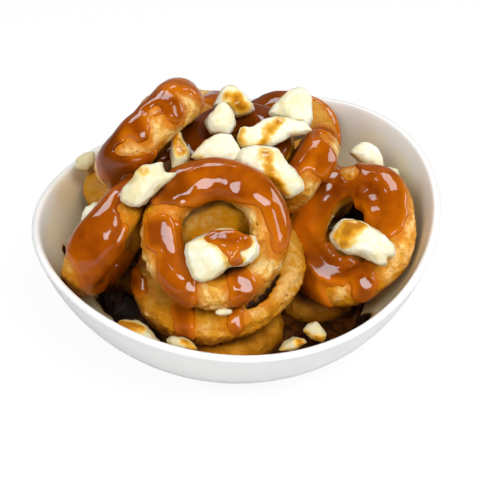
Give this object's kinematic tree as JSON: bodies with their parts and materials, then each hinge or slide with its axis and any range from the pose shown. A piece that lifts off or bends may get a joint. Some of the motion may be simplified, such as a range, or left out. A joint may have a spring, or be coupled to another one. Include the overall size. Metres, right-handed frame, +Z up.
{
  "type": "onion ring poutine",
  "caption": "Battered onion rings heaped in a deep wavy-rimmed bowl with cheese curds and poured gravy; rests on the bowl's foot.",
  "frame": {"origin": "on the table under the middle of the bowl's foot", "axes": "+Z up, -Y towards the front of the dish, +X to its right"},
  "size_m": [0.209, 0.209, 0.1258],
  "materials": {
    "bowl": "white glazed porcelain",
    "batter": "crisp golden fried batter",
    "cheese": "soft moist cheese curd",
    "gravy": "glossy brown gravy"
  },
  "bodies": {
    "root": {"bowl": "bowl", "ring_floor_front": "batter", "ring_floor_left": "batter", "ring_floor_right": "batter", "ring_floor_back": "batter", "ring_under_left": "batter", "ring_under_right": "batter", "ring_under_back": "batter", "ring_wide": "batter", "ring_low_left": "batter", "ring_back_right": "batter", "ring_back_left": "batter", "ring_right": "batter", "ring_left": "batter", "ring_front": "batter", "ring_small": "batter", "ring_crown": "batter", "ring_top_left": "batter", "curd_front_hole": "cheese", "curd_right_hole": "cheese", "curd_left_notch": "cheese", "curd_middle": "cheese", "curd_behind_front": "cheese", "curd_crown": "cheese", "curd_long": "cheese", "curd_back": "cheese", "curd_tall": "cheese", "curd_right_back": "cheese", "curd_sliver": "cheese", "curd_behind_left": "cheese", "curd_far_left": "cheese", "curd_low_left": "cheese", "curd_low_front": "cheese", "curd_low_right": "cheese", "curd_low_middle": "cheese", "curd_far_right": "cheese"}
  },
  "joints": []
}
